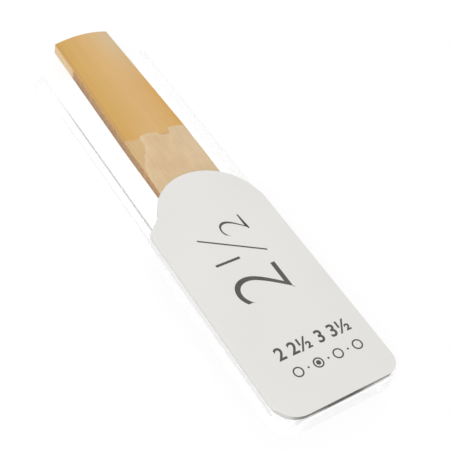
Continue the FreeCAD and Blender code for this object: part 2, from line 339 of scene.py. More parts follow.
# %% [markdown]
# ## The reed's measures
#
# The reed lies turned a little in its tray, so its own directions aren't the frame's. They could be typed
# in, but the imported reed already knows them: its back's corners give the heel, and the furthest point gives
# the tip.

# %% The reed's measures
reed_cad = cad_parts["reed"]
reed_low, reed_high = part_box("reed")
back = reed_low.z
CLOSE = 0.02 * MM
back_points = [v.co.copy() for v in reed_cad.data.vertices if v.co.z < back + CLOSE]
heel_right = max(back_points, key=lambda p: p.y)
heel_left = min((p for p in back_points if p.y > heel_right.y - 1 * MM), key=lambda p: p.x)
heel = (heel_left + heel_right) / 2
across = (heel_right - heel_left).normalized()
along = Vector((across.y, -across.x, 0))
heel_half = (heel_right - heel_left).length / 2


def reed_place(point):
    """A point as its distance to the right of the reed's middle line and its distance from the heel."""
    return (point - heel).dot(across), (point - heel).dot(along)


def between(start, stop, share):
    """A value part of the way from one to another."""
    return start + (stop - start) * min(share, 1)


def half_width(distance):
    """Half of the reed's width at a distance from its heel. Its bark widens faster than its vamp."""
    if distance < bend_at:
        return between(heel_half, bend_half, distance / bend_at)
    return between(bend_half, widest_half, (distance - bend_at) / (widest_at - bend_at))


places = [reed_place(p) for p in back_points]
widest_half, widest_at = max(places)
bend_half, bend_at = max(
    places, key=lambda place: place[0] - between(heel_half, widest_half, place[1] / widest_at),
)
reed_length = max(distance for side, distance in places)
tip_bow = reed_length - widest_at
tip_radius = (widest_half ** 2 + tip_bow ** 2) / (2 * tip_bow)
print("reed length", round(reed_length / MM, 2), "heel", round(2 * heel_half / MM, 2),
      "tip", round(2 * widest_half / MM, 2), "mm")
print("bark's end", round(bend_at / MM, 2), "mm from the heel,", round(2 * bend_half / MM, 2), "mm wide")

# %% [markdown]
# ## The reed's body
#
# A maker planes the back, leaves the bark on the stock and scrapes the vamp away towards the tip. The bark
# ends in a ragged edge, where the knife lifted it, and it stands a hair above the bare cane. The packed
# solid is smooth there. It could be bumped in the material alone, but a mesh with the real step looks right
# from every side.
#
# A grid is laid over the reed's outline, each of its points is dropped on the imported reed's top, and the
# bare cane is then lowered by the bark's thickness. The grid is extruded, and the copy is flattened on to
# the back.

# %% The bark's edge
BARK_THICKNESS = 0.07 * MM
SCRAPE_FADE = 12 * MM
FRINGE = 0.22 * MM
FRINGE_WIDTH = 0.35 * MM
EDGE_SOFTNESS = 0.16 * MM
# Where the bark ends, from the reed's left side to its right: place across, distance from the heel.
BARK_EDGE = [(-6.4, 29.45), (-4.5, 30.15), (-3.7, 30.25), (-3.2, 29.75), (-2.0, 29.65), (-0.2, 30.15),
             (0.4, 31.05), (2.0, 31.15), (2.7, 29.95), (5.3, 29.85), (6.4, 29.95)]


def bark_edge(side):
    """Distance from the heel at which the bark ends, with a fringe of fibres."""
    place = side / MM
    for (x0, y0), (x1, y1) in zip(BARK_EDGE, BARK_EDGE[1:]):
        if place <= x1 or x1 == BARK_EDGE[-1][0]:
            share = min(max((place - x0) / (x1 - x0), 0), 1)
            break
    smooth = share * share * (3 - 2 * share)
    fringe = noise.noise(Vector((side / FRINGE_WIDTH, 0, 0))) * FRINGE
    return (y0 + (y1 - y0) * smooth) * MM + fringe


def bark_cover(side, distance):
    """1 on the bark, 0 on the bare cane, with a narrow slope between."""
    return min(max((bark_edge(side) - distance) / EDGE_SOFTNESS + 0.5, 0), 1)


print("bark ends", round(bark_edge(0) / MM, 2), "mm from the heel, on the middle line")

# %% The reed's body
CELLS_ACROSS = 64
CELLS_ALONG = 360
NUDGE = 0.02 * MM
LIFT = 0.01 * MM  # clear of the tray's floor, because light goes astray between faces that coincide
cad_surface = BVHTree.FromObject(reed_cad, bpy.context.evaluated_depsgraph_get())


def reed_top(side, distance):
    """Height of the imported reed's top over a place on it, read just inside its outline."""
    start = heel + across * side * (1 - NUDGE / heel_half) + along * max(distance - NUDGE, NUDGE)
    hit = cad_surface.ray_cast(Vector((start.x, start.y, reed_high.z + MM)), Vector((0, 0, -1)))[0]
    return hit.z if hit else back


bpy.ops.object.select_all(action="DESELECT")
bpy.ops.mesh.primitive_grid_add(x_subdivisions=CELLS_ACROSS, y_subdivisions=CELLS_ALONG, size=2)
reed = bpy.context.object
reed.name = "cane_reed"
for vertex in reed.data.vertices:
    u, v = vertex.co.x, (vertex.co.y + 1) / 2
    tip = widest_at + math.sqrt(tip_radius ** 2 - (u * widest_half) ** 2) - (tip_radius - tip_bow)
    distance = v * tip
    side = u * half_width(distance)
    bare = 1 - bark_cover(side, distance)
    depth = BARK_THICKNESS * bare * max(1 - (distance - bark_edge(side)) / SCRAPE_FADE, 0)
    place = heel + across * side + along * distance
    vertex.co = (place.x, place.y, reed_top(side, distance) - depth)

select_only(reed)
bpy.ops.object.mode_set(mode="EDIT")
bpy.ops.mesh.select_all(action="SELECT")
bpy.ops.mesh.extrude_region_move()
bpy.ops.transform.resize(value=(1, 1, 0), center_override=(0, 0, back + LIFT))
bpy.ops.mesh.select_all(action="SELECT")
bpy.ops.mesh.normals_make_consistent(inside=False)
bpy.ops.object.mode_set(mode="OBJECT")
highest = max(vertex.co.z for vertex in reed.data.vertices)
print("reed mesh:", len(reed.data.polygons), "faces, top", round(highest / MM, 3), "mm")

# %% [markdown]
# The long top edges are broken with fine sandpaper, so that they don't splinter. A bevel modifier would
# round every edge of the mesh alike. Here only the edges between top and sides, and those of the heel, are
# picked by their place and bevelled in edit mode.

# %% The softened edges
EDGE_ROUNDING = 0.14 * MM
THINNEST_ROUNDED = 0.5 * MM


def on_rim(edge):
    """Whether an edge runs along the top of a side or of the heel, where the reed is thick enough."""
    ends = [reed.data.vertices[index].co for index in edge.vertices]
    if min(p.z for p in ends) < back + THINNEST_ROUNDED:
        return False
    sides = [reed_place(p) for p in ends]
    at_side = all(abs(abs(side) - half_width(distance)) < CLOSE for side, distance in sides)
    at_heel = all(distance < CLOSE for side, distance in sides)
    return at_side or at_heel


select_part(reed, "edges", on_rim)
bpy.ops.mesh.bevel(offset=EDGE_ROUNDING, segments=3, affect="EDGES")
bpy.ops.mesh.select_all(action="SELECT")
bpy.ops.mesh.remove_doubles(threshold=2 * MERGE)
bpy.ops.object.mode_set(mode="OBJECT")
print("faces after rounding:", len(reed.data.polygons))

# %% [markdown]
# The finishes have to know where the bark lies, how far a point is from the reed's edge and how deep it
# lies below it. The mesh carries that as attributes: numbers at every vertex, which the shader reads by
# name. They follow the reed when it slides, as a painted mask would. One of them bounds a yellow strip that
# the knife left on the vamp.

# %% What the finishes read
SIDE_SLOPE = 0.35  # a face that looks up more than this belongs to the top
BACK_SLOPE = 0.5  # one that looks down more than this belongs to the back
HEEL_SLOPE = 0.7  # one that looks away from the tip more than this belongs to the heel's end
REED_CREASE = math.radians(35)
# The strip of inner bark left along the vamp's left side: distance from the heel, and its width there. It has
# run out where the width is below zero.
LEFT_STRIP = [(0.0, 2.8), (32.2, 2.75), (33.5, 2.2), (34.2, 1.55), (35.0, 1.35), (35.6, 0.85), (36.4, 0.55),
              (37.2, 0.33), (38.1, 0.3), (39.0, -0.3), (70.0, -0.5)]


def strip_width(distance):
    """Width of the yellow strip along the left side."""
    for (d0, w0), (d1, w1) in zip(LEFT_STRIP, LEFT_STRIP[1:]):
        if distance / MM <= d1:
            return (w0 + (w1 - w0) * (distance / MM - d0) / (d1 - d0)) * MM
    return LEFT_STRIP[-1][1] * MM


def measures(point):
    """What the finishes read at a point, by name."""
    side, distance = reed_place(point)
    half = half_width(distance)
    left_edge = side + half
    return {
        "bark": bark_cover(side, distance),
        "left": left_edge,
        "right": half - side,
        "strip": left_edge - strip_width(max(distance, 0)),
        "depth": max(reed_top(math.copysign(half, side), distance) - point.z, 0),
    }


found = [measures(vertex.co) for vertex in reed.data.vertices]
for title in found[0]:
    values = reed.data.attributes.new(title, "FLOAT", "POINT").data
    for index, numbers in enumerate(found):
        values[index].value = numbers[title]

TOP, SIDE, HEEL_END, BACK = range(4)
for face in reed.data.polygons:
    normal = face.normal
    if normal.z > SIDE_SLOPE:
        face.material_index = TOP
    elif normal.z < -BACK_SLOPE:
        face.material_index = BACK
    elif normal.dot(along) < -HEEL_SLOPE:
        face.material_index = HEEL_END
    else:
        face.material_index = SIDE
select_only(reed)
bpy.ops.object.shade_smooth_by_angle(angle=REED_CREASE)
print("faces by finish:", [sum(f.material_index == slot for f in reed.data.polygons) for slot in range(4)])

# %% [markdown]
# ## Cane finishes
#
# The bark is the plant's own skin, golden, hard and faintly glossy. Under it the scraped cane is pale and
# dry, a little pinker, with fine fibres along it, and a strip of yellow inner bark is left along its left
# side. The sides are cut by a saw and streaked, and their colour carries painted shade: darker towards the
# foot and inside the tray, pale on the heel past the tray's end. The heel's cut end shows the fibre bundles
# as dots. The bark's top carries a painted sheen near the heel, and painted shade and highlight at its
# ragged edge. Four materials share the fibre group. Each mixes its colours by the measures that the mesh
# carries, so an edge stays an edge.

# %% Bark and scraped cane
def reed_measure(tree, title):
    """One of the reed's own measures, as the mesh carries it."""
    return add_node(tree, "ShaderNodeAttribute", attribute_name=title).outputs["Fac"]


def line(tree, value, start, stop, softness):
    """1 where a value lies between two places, and 0 beside them."""
    rise = spread(tree, value, start - softness, start + softness)
    fall = spread(tree, value, stop - softness, stop + softness, 1.0, 0.0)
    return product(tree, rise, fall)


def fibrous(tree, shade, fibres, contrast):
    """A colour with its streaks and its broad tone, both pale or dark by the contrast."""
    dark = [1 - contrast * part for part in (0.75, 1.0, 1.35)] + [1.0]
    pale = [1 + contrast * 0.35] * 3 + [1.0]
    streak = ramp(tree, fibres["Streak"], (0.34, dark), (0.62, pale))
    tone = ramp(tree, fibres["Tone"], (0.34, dark), (0.66, pale))
    return blend_colours(tree, 0.5, blend_colours(tree, 1.0, shade, streak, "MULTIPLY"), tone, "MULTIPLY")


def make_reed_top():
    material, tree, shader = new_material("cane_top")
    place = object_vector(tree)
    parts = split(tree, place)
    bark_mask = reed_measure(tree, "bark")
    from_left = reed_measure(tree, "left")
    from_right = reed_measure(tree, "right")
    skin = use_group(tree, cane_fibres, place, Fibres=1500.0, Stretch=0.02)
    wood = use_group(tree, cane_fibres, place, Fibres=2800.0, Stretch=0.05)
    cloud = use_group(tree, soft_mottle, place, Blotches=420.0)

    bark = ramp(tree, spread(tree, parts["X"], -3.0 * MM, 8.5 * MM),
                (0.0, colour(212, 166, 88)), (0.5, colour(214, 169, 96)), (1.0, colour(212, 158, 60)))
    # Painted sheen: a paler patch on the bark's right side near the heel stands in for the back lamp's glossy
    # highlight.
    painted_sheen = product(tree, spread(tree, parts["X"], 2.5 * MM, 6.5 * MM),
                    spread(tree, parts["Y"], 32 * MM, 47 * MM))
    bark = blend_colours(tree, painted_sheen, bark, colour(213, 181, 131))
    thin_skin = product(tree, spread(tree, parts["Y"], 25.5 * MM, 21.5 * MM, 0.0, 0.25),
                        line(tree, parts["X"], -1.2 * MM, 2.4 * MM, 1.0 * MM))
    bark = blend_colours(tree, thin_skin, bark, colour(216, 179, 125))
    bark = fibrous(tree, bark, skin, 0.045)
    left_line = product(tree, line(tree, from_left, 0.15 * MM, 0.45 * MM, 0.08 * MM), bark_mask)
    bark = blend_colours(tree, left_line, bark, colour(196, 152, 88))

    bare = ramp(tree, spread(tree, parts["X"], 2.0 * MM, 8.5 * MM),
                (0.0, colour(219, 189, 149)), (1.0, colour(223, 195, 158)))
    clouds = spread(tree, cloud["Broad"], 0.40, 0.66, 0.0, 0.5)
    bare = blend_colours(tree, clouds, bare, colour(226, 203, 162))
    waver = spread(tree, cloud["Broad"], 0.3, 0.7, -0.12 * MM, 0.12 * MM)
    strip = arithmetic(tree, "ADD", reed_measure(tree, "strip"), waver)
    speckle = use_group(tree, soft_mottle, place, Blotches=900.0)
    blotches = spread(tree, speckle["Broad"], 0.40, 0.62, 0.1, 0.7)
    beside_strip = product(tree, line(tree, strip, 0.1 * MM, 0.7 * MM, 0.25 * MM), blotches)
    bare = blend_colours(tree, beside_strip, bare, colour(229, 206, 167))
    bare = blend_colours(tree, spread(tree, strip, 0.12 * MM, -0.12 * MM), bare, colour(213, 181, 131))
    scratch = product(tree, line(tree, from_left, 0.30 * MM, 0.42 * MM, 0.08 * MM),
                      spread(tree, parts["Y"], 16.0 * MM, 18.0 * MM, 0.0, 0.5))
    bare = blend_colours(tree, scratch, bare, colour(190, 152, 100))
    bare = fibrous(tree, bare, wood, 0.07)

    shade = blend_colours(tree, bark_mask, bare, bark)
    # Painted shade and highlight at the bark's ragged edge: a darker band where the bark's tongue stands over
    # the bare cane, and a lighter band along the step to its right.
    step = product(tree, bark_mask, arithmetic(tree, "SUBTRACT", 1.0, bark_mask), 4.0)
    tongue = line(tree, parts["X"], 2.8 * MM, 4.5 * MM, 0.2 * MM)
    shade = blend_colours(tree, product(tree, step, tongue, 0.4), shade, colour(180, 136, 82))
    step_highlight_right = spread(tree, parts["X"], 4.6 * MM, 5.0 * MM)
    shade = blend_colours(tree, product(tree, step, step_highlight_right, 0.6), shade, colour(232, 208, 166))
    lit_edge = product(tree, spread(tree, from_right, 0.16 * MM, 0.06 * MM), 0.5)
    shade = blend_colours(tree, lit_edge, shade, colour(226, 192, 138))

    tree.links.new(shade, shader.inputs["Base Color"])
    tree.links.new(spread(tree, bark_mask, 0, 1, 0.72, 0.42), shader.inputs["Roughness"])
    height = arithmetic(tree, "MULTIPLY", wood["Height"], spread(tree, bark_mask, 0, 1, 1.0, 0.2))
    relief(tree, height, shader, 0.4)
    return material


def make_reed_side():
    material, tree, shader = new_material("cane_side")
    place = object_vector(tree)
    parts = split(tree, place)
    depth = reed_measure(tree, "depth")
    wood = use_group(tree, cane_fibres, place, Fibres=2600.0, Stretch=0.03)
    cloud = use_group(tree, soft_mottle, place, Blotches=500.0)
    # Painted shade: the side is darker towards its foot, where it sits down in the tray, and paler along its
    # top.
    sawn_tone_and_shade = ramp(tree, spread(tree, depth, 0.0, 2.2 * MM),
                (0.0, colour(206, 166, 120)), (0.12, colour(196, 156, 112)), (0.3, colour(184, 148, 108)),
                (0.6, colour(178, 143, 106)), (1.0, colour(166, 138, 110)))
    patches = use_group(tree, soft_mottle, place, Blotches=750.0)["Broad"]
    sawn_tone_and_shade = blend_colours(tree, spread(tree, patches, 0.50, 0.62, 0.0, 0.4), sawn_tone_and_shade, colour(204, 152, 112))
    sawn_tone_and_shade = blend_colours(tree, spread(tree, patches, 0.46, 0.36, 0.0, 0.4), sawn_tone_and_shade, colour(160, 126, 86))
    skin_edge = arithmetic(tree, "ADD", depth, spread(tree, cloud["Broad"], 0.3, 0.7, -0.12 * MM, 0.12 * MM))
    # Past the tray's end the heel's side keeps its pale colour; the darker side inside the tray is painted
    # shade from the tray.
    heel_side_unshaded = ramp(tree, spread(tree, skin_edge, 0.24 * MM, 0.36 * MM),
                   (0.0, colour(214, 172, 106)), (1.0, colour(230, 202, 160)))
    beyond_tray_shade = spread(tree, parts["Y"], 41.8 * MM, 42.7 * MM)
    shade = fibrous(tree, blend_colours(tree, beyond_tray_shade, sawn_tone_and_shade, heel_side_unshaded), wood, 0.06)
    tree.links.new(shade, shader.inputs["Base Color"])
    shader.inputs["Roughness"].default_value = 0.75
    relief(tree, wood["Height"], shader, 0.5)
    return material


def make_heel_end():
    material, tree, shader = new_material("cane_heel_end")
    place = object_vector(tree)
    cells = add_node(tree, "ShaderNodeTexVoronoi", feature="F1")
    cells.inputs["Scale"].default_value = 2600.0
    flat = add_node(tree, "ShaderNodeVectorMath", operation="MULTIPLY")
    flat.inputs[1].default_value = (1, 0, 1)
    tree.links.new(place, flat.inputs[0])
    tree.links.new(flat.outputs[0], cells.inputs["Vector"])
    shade = ramp(tree, cells.outputs["Distance"], (0.10, colour(172, 128, 82)), (0.34, colour(226, 196, 150)))
    tree.links.new(shade, shader.inputs["Base Color"])
    shader.inputs["Roughness"].default_value = 0.85
    relief(tree, arithmetic(tree, "MULTIPLY", cells.outputs["Distance"], 0.00004), shader, 0.6)
    return material


def make_reed_back():
    material, tree, shader = new_material("cane_back")
    wood = use_group(tree, cane_fibres, object_vector(tree), Fibres=3000.0, Stretch=0.02)
    shade = ramp(tree, wood["Streak"], (0.30, colour(206, 170, 124)), (0.62, colour(230, 204, 164)))
    tree.links.new(shade, shader.inputs["Base Color"])
    shader.inputs["Roughness"].default_value = 0.65
    relief(tree, wood["Height"], shader, 0.3)
    return material


dress(reed, make_reed_top(), make_reed_side(), make_heel_end(), make_reed_back())
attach(reed, "reed")
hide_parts("reed")
print("reed dressed with", [slot.material.name for slot in reed.material_slots])

# %% [markdown]
# ## The clear tray
#
# The tray is moulded in clear plastic. It could be faked with a thin white veil, but then it would stay
# flat from the side. Real transmission bends what lies behind the rails. The grey that the clear moulding
# shows is painted shade in its colour: it darkens where it is seen edge on, so its colour falls with the
# facing angle, the rail tops are a faint grey, and their rounded edges carry a thin painted grey line. The
# ledge in front of the cover carries a painted reflection and shadow of the cover's dark edge. Where light
# passes one surface a tint counts as its square root, so these colours are darker than what is seen. Lamps
# would cast a black shadow through glass, so shadow rays meet a clear shader instead.

# %% The clear tray
CLEAR = [1.0, 1.0, 1.0, 1.0]
# Painted shade in the clear plastic's colour: grey seen edge on, grey lines along the rails' rounded edges,
# and a faint grey on the rail tops.
EDGE_ON = colour(200, 201, 202)
EDGE_LINE = colour(154, 157, 152)
OUTER_LINE = colour(218, 219, 218)
RAIL_TOP_SHADE = colour(243, 243, 243)
tray_low, tray_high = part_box("guard_tray")
cover_low, cover_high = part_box("guard_cover")
RAIL = 2.0 * MM
INNER_LINE_WIDTH = 0.46 * MM
OUTER_LINE_WIDTH = 0.25 * MM


def make_clear_plastic():
    material, tree, shader = new_material("clear_plastic")
    place = object_vector(tree)
    parts = split(tree, place)
    upright = surface_normal(tree)["Z"]
    mottle = use_group(tree, soft_mottle, place, Blotches=90.0)
    facing = add_node(tree, "ShaderNodeLayerWeight")
    facing.inputs["Blend"].default_value = 0.5
    inside = add_node(tree, "ShaderNodeNewGeometry").outputs["Backfacing"]

    shade = ramp(tree, facing.outputs["Facing"], (0.60, CLEAR), (0.98, EDGE_ON))
    high = spread(tree, parts["Z"], tray_high.z - 0.9 * MM, tray_high.z - 0.4 * MM)
    shade = blend_colours(tree, product(tree, high, spread(tree, upright, 0.98, 1.0)), shade, RAIL_TOP_SHADE)
    off_middle = arithmetic(tree, "ABSOLUTE", parts["X"], 0.0)
    rail_edge = tray_high.x - RAIL
    inner = line(tree, off_middle, rail_edge, rail_edge + INNER_LINE_WIDTH, 0.06 * MM)
    leftward = spread(tree, parts["X"], tray_low.x / 2, tray_high.x / 2, 1.0, 0.1)
    inward = spread(tree, parts["Y"], 0.87 * tray_high.y, 0.66 * tray_high.y, 0.12, 1.0)
    beside_reed = spread(tree, parts["Y"], cover_low.y / 2, cover_low.y / 3)
    shade = blend_colours(tree, product(tree, high, inner, leftward, inward, beside_reed), shade, EDGE_LINE)
    outer = line(tree, off_middle, tray_high.x - OUTER_LINE_WIDTH, tray_high.x, 0.05 * MM)
    shade = blend_colours(tree, product(tree, high, outer, leftward, inward), shade, OUTER_LINE)
    # Painted reflection and shadow of the cover's dark edge on the ledge in front of it.
    ledge = ramp(tree, spread(tree, parts["Y"], cover_low.y, tray_low.y), (0.0, colour(42, 42, 40)),
                 (0.30, colour(70, 70, 68)), (0.48, colour(200, 200, 198)), (0.65, colour(252, 252, 252)))
    at_ledge = product(
        tree, high, spread(tree, parts["Y"], cover_low.y + 0.3 * MM, cover_low.y),
        spread(tree, off_middle, 0.25 * tray_high.x, 0.72 * tray_high.x, 1.0, 0.35),
        spread(tree, off_middle, 0.75 * tray_high.x, 0.83 * tray_high.x, 1.0, 0.0),
    )
    shade = blend_colours(tree, at_ledge, shade, ledge)

    tree.links.new(blend_colours(tree, inside, shade, CLEAR), shader.inputs["Base Color"])
    tree.links.new(spread(tree, mottle["Broad"], 0.3, 0.7, 0.0, 0.03), shader.inputs["Roughness"])
    shader.inputs["Transmission Weight"].default_value = 1.0
    shader.inputs["IOR"].default_value = 1.15
    output = tree.nodes["Material Output"]
    ways = add_node(tree, "ShaderNodeLightPath")
    clear = add_node(tree, "ShaderNodeBsdfTransparent")
    clear.inputs["Color"].default_value = colour(248, 248, 248)
    either = add_node(tree, "ShaderNodeMixShader")
    tree.links.new(ways.outputs["Is Shadow Ray"], either.inputs["Fac"])
    tree.links.new(shader.outputs["BSDF"], either.inputs[1])
    tree.links.new(clear.outputs["BSDF"], either.inputs[2])
    tree.links.new(either.outputs["Shader"], output.inputs["Surface"])
    return material


dress(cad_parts["guard_tray"], make_clear_plastic())
print("tray dressed")

# %% [markdown]
# ## The cover plate
#
# The cover is a moulded plate in pale plastic. Only its edge shows, under the white film at the closed end,
# and the dark line there is painted shade in the plate's colour.
# The imported plate has sharp rims, and its underside lies exactly on the rails. A copy of it gets its outer
# rims bevelled, and its underside is lifted by a hundredth of a millimetre, so that no two faces coincide.

# %% The cover plate
PLATE_ROUNDING = 0.1 * MM
PLATE_CREASE = math.radians(30)
plate = copy_of("guard_cover", "cover_plate")
plate_foot = tray_high.z


def at_height(point, height):
    """Whether a point lies at a height."""
    return abs(point.z - height) < CLOSE / 4


select_part(plate, "vertices", lambda vertex: at_height(vertex.co, plate_foot))
bpy.ops.transform.translate(value=(0, 0, LIFT))
bpy.ops.mesh.select_mode(type="EDGE")
bpy.ops.mesh.select_all(action="SELECT")
bpy.ops.mesh.dissolve_limited(angle_limit=FLAT)
bpy.ops.object.mode_set(mode="OBJECT")
top_faces = [face for face in plate.data.polygons if at_height(face.center, cover_high.z)]
top_rim = {index for face in top_faces for index in face.vertices}
select_part(plate, "edges", lambda edge: all(index in top_rim for index in edge.vertices))
bpy.ops.mesh.bevel(offset=PLATE_ROUNDING, segments=2, affect="EDGES")
bpy.ops.mesh.select_all(action="SELECT")
bpy.ops.mesh.normals_make_consistent(inside=False)
bpy.ops.object.mode_set(mode="OBJECT")
bpy.ops.object.shade_smooth_by_angle(angle=PLATE_CREASE)
print("plate's rim has", len(top_rim), "corners")


def at_closed_end(tree, parts):
    """1 at the cover's closed end, and 0 further along."""
    return spread(tree, parts["Y"], cover_low.y + 1.2 * MM, cover_low.y + 0.5 * MM)


def make_cover_plastic():
    material, tree, shader = new_material("cover_plastic")
    place = object_vector(tree)
    parts = split(tree, place)
    mottle = use_group(tree, soft_mottle, place, Blotches=200.0)
    # Painted shade: the plate's edge across the closed end is painted dark, darkest in the middle of the end
    # and fading round the corners and towards the rim's top and foot; the rest of the plate stays pale.
    grey = [(level, level, level, 1.0) for level in (0.0, 0.5, 0.8, 1.0)]
    shade_across_end = ramp(tree, spread(tree, parts["X"], cover_low.x, cover_high.x),
                      (0.05, grey[0]), (0.16, grey[2]), (0.49, grey[3]), (0.58, grey[3]), (0.78, grey[1]),
                      (0.88, grey[1]), (0.95, grey[0]))
    shade_up_the_rim = ramp(tree, spread(tree, parts["Z"], plate_foot, cover_high.z),
                      (0.0, grey[2]), (0.25, grey[3]), (0.9, grey[3]), (1.0, grey[2]))
    pale = ramp(tree, mottle["Broad"], (0.3, colour(206, 206, 203)), (0.7, colour(216, 216, 213)))
    dark = product(tree, shade_across_end, shade_up_the_rim)
    rim = blend_colours(tree, dark, colour(196, 196, 193), colour(72, 72, 68))
    on_edge = spread(tree, surface_normal(tree)["Z"], 0.6, 0.95, 1.0, 0.0)
    shade = blend_colours(tree, product(tree, on_edge, at_closed_end(tree, parts)), pale, rim)
    tree.links.new(shade, shader.inputs["Base Color"])
    tree.links.new(spread(tree, mottle["Fine"], 0.3, 0.7, 0.30, 0.42), shader.inputs["Roughness"])
    relief(tree, arithmetic(tree, "MULTIPLY", mottle["Fine"], 0.000004), shader, 0.5)
    return material


dress(plate, make_cover_plastic())
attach(plate, "guard")
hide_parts("guard_cover")

# %% [markdown]
# ## The label
#
# A matte white film covers the plate. It is pressed round the plate's edges and folded down its two long
# sides, where it reaches the rails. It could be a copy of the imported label, but that one has sharp edges
# and no corner folds.
#
# The plate's own top face gives the outline. It is extruded into a shallow lid, fattened to the film's
# outside, its rim is bevelled, its open edge is drawn down along the sides, and a Solidify modifier gives
# it its thickness.

# %% The label's film
INK = 0.02 * MM
FILM_THICKNESS = 0.07 * MM
FILM_ROUNDING = 0.08 * MM
FILM_LIP = 0.09 * MM
CORNER_TAPER = 2.2 * MM
SHOULDER_TAPER = 0.9 * MM
label_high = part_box("cover_label")[1]
film_top = label_high.z - INK
film_growth = label_high.x - cover_high.x
film = copy_of("guard_cover", "label_film")
select_part(film, "polygons", lambda face: not at_height(face.center, cover_high.z))
bpy.ops.mesh.delete(type="FACE")
bpy.ops.mesh.select_all(action="SELECT")
bpy.ops.mesh.dissolve_limited(angle_limit=FLAT)
bpy.ops.mesh.select_all(action="SELECT")
bpy.ops.mesh.extrude_region_move(TRANSFORM_OT_translate={"value": (0, 0, -FILM_LIP)})
bpy.ops.mesh.select_all(action="SELECT")
bpy.ops.mesh.normals_make_consistent(inside=False)
bpy.ops.transform.shrink_fatten(value=film_growth, use_even_offset=True)
bpy.ops.object.mode_set(mode="OBJECT")
lid_top = max(vertex.co.z for vertex in film.data.vertices)
lid_foot = min(vertex.co.z for vertex in film.data.vertices)
lid_side = max(vertex.co.x for vertex in film.data.vertices)
print("lid from", round(lid_foot / MM, 3), "to", round(lid_top / MM, 3), "mm, half its width",
      round(lid_side / MM, 3), "mm")

select_part(film, "vertices", lambda vertex: vertex.co.z > (lid_top + lid_foot) / 2)
bpy.ops.transform.translate(value=(0, 0, film_top - lid_top))
select_part(film, "polygons", lambda face: face.normal.z < -0.5)
bpy.ops.mesh.delete(type="ONLY_FACE")
bpy.ops.object.mode_set(mode="OBJECT")
select_part(film, "edges",
            lambda edge: all(at_height(film.data.vertices[i].co, film_top) for i in edge.vertices))
bpy.ops.mesh.bevel(offset=FILM_ROUNDING, segments=4, affect="EDGES")
bpy.ops.object.mode_set(mode="OBJECT")

# %% [markdown]
# The film's open edge is still level. Each of its points is now drawn down by its place: to the rails along
# the straight sides, not at all across the closed end and the arch, and smoothly between round the corners.

# %% The folded sides
straight = {
    sign: [v.co.y for v in film.data.vertices
           if at_height(v.co, lid_foot) and abs(v.co.x - sign * lid_side) < CLOSE]
    for sign in (-1, 1)
}


def fold_foot(point):
    """Height of the film's open edge under a point of its outline."""
    stretch = straight[-1 if point.x < 0 else 1]
    beyond = max((min(stretch) - point.y) / CORNER_TAPER, (point.y - max(stretch)) / SHOULDER_TAPER, 0)
    share = min(beyond, 1)
    share = share * share * (3 - 2 * share)
    low, high = plate_foot + LIFT, film_top - FILM_LIP
    return low + (high - low) * share


for vertex in film.data.vertices:
    if at_height(vertex.co, lid_foot):
        vertex.co.z = fold_foot(vertex.co)
select_only(film)
wall = film.modifiers.new("film thickness", "SOLIDIFY")
wall.thickness = FILM_THICKNESS
wall.offset = -1
wall.use_even_offset = True
bpy.ops.object.modifier_apply(modifier=wall.name)
bpy.ops.object.shade_smooth_by_angle(angle=PLATE_CREASE)
lowest = min(vertex.co.z for vertex in film.data.vertices)
print("film:", len(film.data.polygons), "faces, folds reach", round(lowest / MM, 3), "mm")


def make_label_film():
    material, tree, shader = new_material("label_film")
    place = object_vector(tree)
    mottle = use_group(tree, soft_mottle, place, Blotches=70.0)
    shade = ramp(tree, mottle["Broad"], (0.30, colour(230, 229, 226)), (0.70, colour(234, 232, 228)))
    # The film's edge faces across the closed end are made lighter than its top.
    on_edge = spread(tree, surface_normal(tree)["Z"], 0.3, 0.95, 1.0, 0.0)
    lighter_end_lip = product(tree, on_edge, at_closed_end(tree, split(tree, place)))
    shade = blend_colours(tree, lighter_end_lip, shade, colour(250, 248, 245))
    tree.links.new(shade, shader.inputs["Base Color"])
    tree.links.new(spread(tree, mottle["Fine"], 0.3, 0.7, 0.48, 0.60), shader.inputs["Roughness"])
    relief(tree, arithmetic(tree, "MULTIPLY", mottle["Fine"], 0.000003), shader, 0.4)
    return material


dress(film, make_label_film())
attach(film, "guard")
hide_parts("cover_label")

# %% [markdown]
# ## The print
#
# A reed's guard says how strong the reed is. A plain number does that here, written large along the film,
# with a scale of strengths across the closed end and a ring under each, one of them filled for the strength
# in use. Letters can be drawn as curves, but Blender's own font is quicker: text objects are sized, thinned
# or thickened, laid on the film and made into meshes.

# %% The print
CURVE_STEPS = 12


def print_text(name, words, height, place, turn, weight):
    """Plain figures on the film. place is the middle of the text and weight thins or thickens its strokes."""
    bpy.ops.object.select_all(action="DESELECT")
    bpy.ops.object.text_add(location=(place[0], place[1], film_top), rotation=(0, 0, turn))
    made = bpy.context.object
    made.name = name
    made.data.body = words
    made.data.size = height
    made.data.align_x = "CENTER"
    made.data.align_y = "CENTER"
    made.data.offset = weight
    made.data.extrude = INK / 2
    made.data.resolution_u = CURVE_STEPS
    bpy.ops.object.convert(target="MESH")
    bpy.ops.object.mode_set(mode="EDIT")
    bpy.ops.mesh.select_all(action="SELECT")
    bpy.ops.mesh.remove_doubles(threshold=MERGE)
    bpy.ops.transform.translate(value=(0, 0, INK / 2))
    bpy.ops.object.mode_set(mode="OBJECT")
    bpy.ops.object.transform_apply(location=True, rotation=True, scale=True)
    return made


def print_dot(name, radius, place):
    """A flat round dot of ink on the film."""
    bpy.ops.object.select_all(action="DESELECT")
    bpy.ops.mesh.primitive_cylinder_add(vertices=32, radius=radius, depth=INK,
                                        location=(place[0], place[1], film_top + INK / 2))
    made = bpy.context.object
    made.name = name
    bpy.ops.object.transform_apply(location=True, rotation=True, scale=True)
    return made


